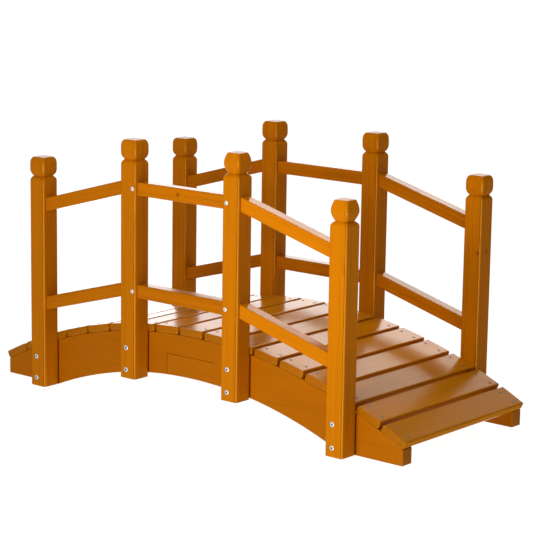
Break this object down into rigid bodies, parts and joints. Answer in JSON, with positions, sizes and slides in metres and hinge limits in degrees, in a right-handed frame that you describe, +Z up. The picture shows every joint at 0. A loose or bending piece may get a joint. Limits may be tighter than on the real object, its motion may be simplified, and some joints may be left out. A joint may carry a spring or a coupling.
{
  "type": "garden footbridge",
  "caption": "Small arched wooden garden footbridge with a cross-board deck, spliced arch stringers and square-post rails on both sides",
  "frame": {"origin": "on the ground under the middle of the span, on the bridge's centre line", "axes": "+X along the span, +Y across the deck, +Z up"},
  "size_m": [1.5168, 0.6828, 0.7809],
  "materials": {
    "stringer_wood": "stained and varnished softwood, glossy",
    "board_wood": "stained and varnished softwood, glossy",
    "post_wood": "stained and varnished softwood, glossy",
    "rail_wood": "stained and varnished softwood, glossy"
  },
  "bodies": {
    "root": {"near_stringer_left": "stringer_wood", "near_stringer_right": "stringer_wood", "far_stringer_left": "stringer_wood", "far_stringer_right": "stringer_wood", "deck_board_01": "board_wood", "deck_board_02": "board_wood", "deck_board_03": "board_wood", "deck_board_04": "board_wood", "deck_board_05": "board_wood", "deck_board_06": "board_wood", "deck_board_07": "board_wood", "deck_board_08": "board_wood", "deck_board_09": "board_wood", "deck_board_10": "board_wood", "deck_board_11": "board_wood", "deck_board_12": "board_wood", "deck_board_13": "board_wood", "deck_board_14": "board_wood", "deck_board_15": "board_wood", "deck_board_16": "board_wood", "deck_board_17": "board_wood", "near_post_1": "post_wood", "near_post_2": "post_wood", "near_post_3": "post_wood", "near_post_4": "post_wood", "far_post_1": "post_wood", "far_post_2": "post_wood", "far_post_3": "post_wood", "far_post_4": "post_wood", "near_handrail_left": "rail_wood", "near_handrail_middle": "rail_wood", "near_handrail_right": "rail_wood", "far_handrail_left": "rail_wood", "far_handrail_middle": "rail_wood", "far_handrail_right": "rail_wood", "near_lower_rail_left": "rail_wood", "near_lower_rail_middle": "rail_wood", "near_lower_rail_right": "rail_wood", "far_lower_rail_left": "rail_wood", "far_lower_rail_middle": "rail_wood", "far_lower_rail_right": "rail_wood"}
  },
  "joints": []
}
